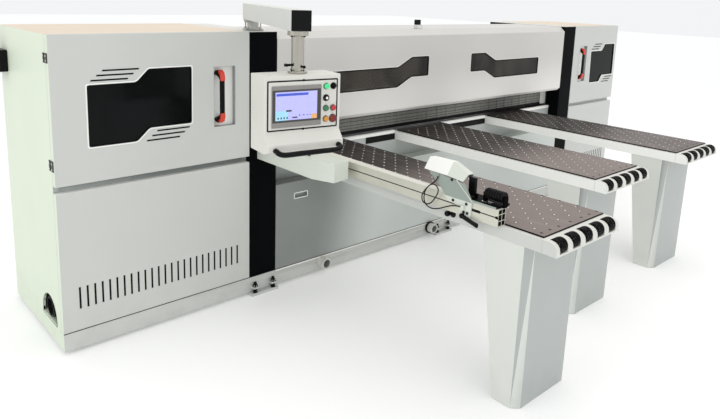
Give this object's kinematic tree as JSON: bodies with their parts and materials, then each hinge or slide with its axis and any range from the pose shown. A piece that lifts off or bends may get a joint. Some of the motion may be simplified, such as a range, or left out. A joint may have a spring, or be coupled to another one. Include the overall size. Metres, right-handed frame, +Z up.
{
  "type": "panel saw",
  "caption": "Panel saw: portal frame with hooded pressure beam, travelling saw carriage, air tables with end rollers, side fence with stop, swivel console and rear pusher table.",
  "frame": {"origin": "on the floor, under the middle of the machine's outer box", "axes": "+Z up, +Y from the operator's air tables towards the rear feed table, +X to the operator's right"},
  "size_m": [5.9543, 6.2, 1.889],
  "materials": {
    "light_grey_paint": "satin powder coat",
    "pale_paint": "satin powder coat",
    "black_paint": "satin powder coat",
    "table_laminate": "dark compact laminate, matte",
    "black_rubber": "matte",
    "tinted_window": "dark tinted, clear gloss",
    "anodised": "satin anodised",
    "steel": "brushed",
    "dark_steel": "machined and oiled",
    "chrome": "bright chrome",
    "black_plastic": "matte",
    "white_plastic": "semi gloss",
    "red_plastic": "semi gloss",
    "green_plastic": "semi gloss, lit",
    "amber_plastic": "semi gloss, lit",
    "strip_pvc": "translucent strips"
  },
  "bodies": {
    "machine": {"base_frame": "pale_paint", "portal_frame": "black_paint", "left_cabinet": "pale_paint", "left_lower_panel": "light_grey_paint", "right_cabinet": "pale_paint", "right_lower_panel": "light_grey_paint", "isolator_box": "black_plastic", "dust_hose": "black_rubber", "saw_bed": "dark_steel", "front_panel": "light_grey_paint", "beam_cover": "light_grey_paint", "cover_windows": "tinted_window", "safety_curtain": "strip_pvc", "carriage_rail": "dark_steel", "fence_housing": "pale_paint", "fence_profile": "anodised", "rear_table": "light_grey_paint", "left_table_frame": "pale_paint", "left_table_top": "table_laminate", "middle_table_frame": "pale_paint", "middle_table_top": "table_laminate", "right_table_frame": "pale_paint", "right_table_top": "table_laminate"},
    "left_door": {"left_door": "light_grey_paint", "left_door_window": "tinted_window", "left_door_handle": "black_plastic"},
    "right_door": {"right_door": "light_grey_paint", "right_door_window": "tinted_window", "right_door_handle": "black_plastic"},
    "pressure_beam": {"pressure_beam": "anodised"},
    "saw_carriage": {"saw_carriage": "dark_steel"},
    "saw_head": {"saw_head": "light_grey_paint", "main_motor": "steel"},
    "main_blade": {"main_blade": "steel"},
    "scoring_blade": {"scoring_blade": "steel"},
    "pusher_gantry": {"pusher_gantry": "light_grey_paint"},
    "gripper_jaws": {"gripper_jaws": "dark_steel"},
    "left_end_rollers": {"left_end_rollers": "black_rubber"},
    "middle_end_rollers": {"middle_end_rollers": "black_rubber"},
    "right_end_rollers": {"right_end_rollers": "black_rubber"},
    "stop_carriage": {"stop_bracket": "pale_paint", "stop_hood": "pale_paint", "stop_cable": "black_rubber"},
    "flip_stop": {"flip_stop": "black_paint"},
    "stop_roller": {"stop_roller": "black_plastic"},
    "stop_lever": {"stop_lever": "black_plastic"},
    "console_arm": {"console_arm": "pale_paint"},
    "console": {"console_post": "chrome", "console_box": "pale_paint", "console_panel": "pale_paint", "touch_screen": "steel", "console_handle": "black_plastic"},
    "start_button": {"start_button": "green_plastic"},
    "selector_knob": {"selector_knob": "black_plastic"},
    "reset_button": {"reset_button": "white_plastic"},
    "green_button": {"green_button": "green_plastic"},
    "red_button": {"red_button": "red_plastic"},
    "amber_button": {"amber_button": "amber_plastic"},
    "emergency_stop": {"emergency_stop": "red_plastic"},
    "isolator_lever": {"isolator_lever": "red_plastic"}
  },
  "joints": [
    {"name": "left_door_hinge", "type": "hinge", "parent": "machine", "child": "left_door", "pos_m": [-2.87285, -1.05985, 1.334], "axis": [0, 0, -1], "range_deg": [0, 39]},
    {"name": "right_door_hinge", "type": "hinge", "parent": "machine", "child": "right_door", "pos_m": [2.97715, -1.05985, 1.334], "axis": [0, 0, 1], "range_deg": [0, 110]},
    {"name": "pressure_beam_slide", "type": "slide", "parent": "machine", "child": "pressure_beam", "axis": [0, 0, -1], "range_m": [0, 0.109]},
    {"name": "saw_carriage_slide", "type": "slide", "parent": "machine", "child": "saw_carriage", "axis": [1, 0, 0], "range_m": [0, 4.45]},
    {"name": "saw_head_lift", "type": "slide", "parent": "saw_carriage", "child": "saw_head", "axis": [0, 0, 1], "range_m": [0, 0.1]},
    {"name": "main_blade_spin", "type": "hinge", "parent": "saw_head", "child": "main_blade", "pos_m": [-2.27785, -0.796, 0.701], "axis": [0, 1, 0], "continuous": true},
    {"name": "scoring_blade_spin", "type": "hinge", "parent": "saw_head", "child": "scoring_blade", "pos_m": [-1.95785, -0.796, 0.741], "axis": [0, 1, 0], "continuous": true},
    {"name": "pusher_slide", "type": "slide", "parent": "machine", "child": "pusher_gantry", "axis": [0, -1, 0], "range_m": [0, 2.74]},
    {"name": "gripper_hinge", "type": "hinge", "parent": "pusher_gantry", "child": "gripper_jaws", "pos_m": [0.19215, 2.4797, 0.9916], "axis": [1, 0, 0], "range_deg": [0, 8]},
    {"name": "stop_carriage_slide", "type": "slide", "parent": "machine", "child": "stop_carriage", "axis": [0, 1, 0], "range_m": [0, 0.5]},
    {"name": "flip_stop_hinge", "type": "hinge", "parent": "stop_carriage", "child": "flip_stop", "pos_m": [-1.39785, -2.613, 1.0303], "axis": [0, 1, 0], "range_deg": [0, 90]},
    {"name": "stop_roller_spin", "type": "hinge", "parent": "stop_carriage", "child": "stop_roller", "pos_m": [-1.38785, -2.7445, 1.0543], "axis": [0, 1, 0], "continuous": true},
    {"name": "stop_lever_hinge", "type": "hinge", "parent": "stop_carriage", "child": "stop_lever", "pos_m": [-1.45585, -2.603, 0.925], "axis": [1, 0, 0], "range_deg": [0, 60]},
    {"name": "console_arm_swivel", "type": "hinge", "parent": "machine", "child": "console_arm", "pos_m": [-1.58885, -0.945, 1.789], "axis": [0, 0, 1], "range_deg": [-40, 80]},
    {"name": "console_swivel", "type": "hinge", "parent": "console_arm", "child": "console", "pos_m": [-1.99127, -1.9666, 1.7], "axis": [0, 0, 1], "range_deg": [-90, 90]},
    {"name": "isolator_lever_hinge", "type": "hinge", "parent": "machine", "child": "isolator_lever", "pos_m": [-2.96985, -0.281, 1.5245], "axis": [1, 0, 0], "range_deg": [0, 90]},
    {"name": "selector_turn", "type": "hinge", "parent": "console", "child": "selector_knob", "pos_m": [-1.85303, -2.07537, 1.527], "axis": [0.1616, 0.9869, 0], "range_deg": [-45, 45]},
    {"name": "left_rollers_spin", "type": "hinge", "parent": "machine", "child": "left_end_rollers", "pos_m": [-1.12485, -3.065, 0.894], "axis": [1, 0, 0], "continuous": true},
    {"name": "middle_rollers_spin", "type": "hinge", "parent": "machine", "child": "middle_end_rollers", "pos_m": [-0.02585, -2.725, 0.894], "axis": [1, 0, 0], "continuous": true},
    {"name": "right_rollers_spin", "type": "hinge", "parent": "machine", "child": "right_end_rollers", "pos_m": [1.12815, -2.725, 0.894], "axis": [1, 0, 0], "continuous": true},
    {"name": "start_button_press", "type": "slide", "parent": "console", "child": "start_button", "axis": [0.1616, 0.9869, 0], "range_m": [0, 0.004], "stiffness_N_per_m": 400, "springref_m": -0.001},
    {"name": "reset_button_press", "type": "slide", "parent": "console", "child": "reset_button", "axis": [0.1616, 0.9869, 0], "range_m": [0, 0.004], "stiffness_N_per_m": 400, "springref_m": -0.001},
    {"name": "green_button_press", "type": "slide", "parent": "console", "child": "green_button", "axis": [0.1616, 0.9869, 0], "range_m": [0, 0.004], "stiffness_N_per_m": 400, "springref_m": -0.001},
    {"name": "red_button_press", "type": "slide", "parent": "console", "child": "red_button", "axis": [0.1616, 0.9869, 0], "range_m": [0, 0.004], "stiffness_N_per_m": 400, "springref_m": -0.001},
    {"name": "amber_button_press", "type": "slide", "parent": "console", "child": "amber_button", "axis": [0.1616, 0.9869, 0], "range_m": [0, 0.004], "stiffness_N_per_m": 400, "springref_m": -0.001},
    {"name": "emergency_stop_press", "type": "slide", "parent": "console", "child": "emergency_stop", "axis": [0.1616, 0.9869, 0], "range_m": [0, 0.004], "stiffness_N_per_m": 400, "springref_m": -0.001}
  ]
}
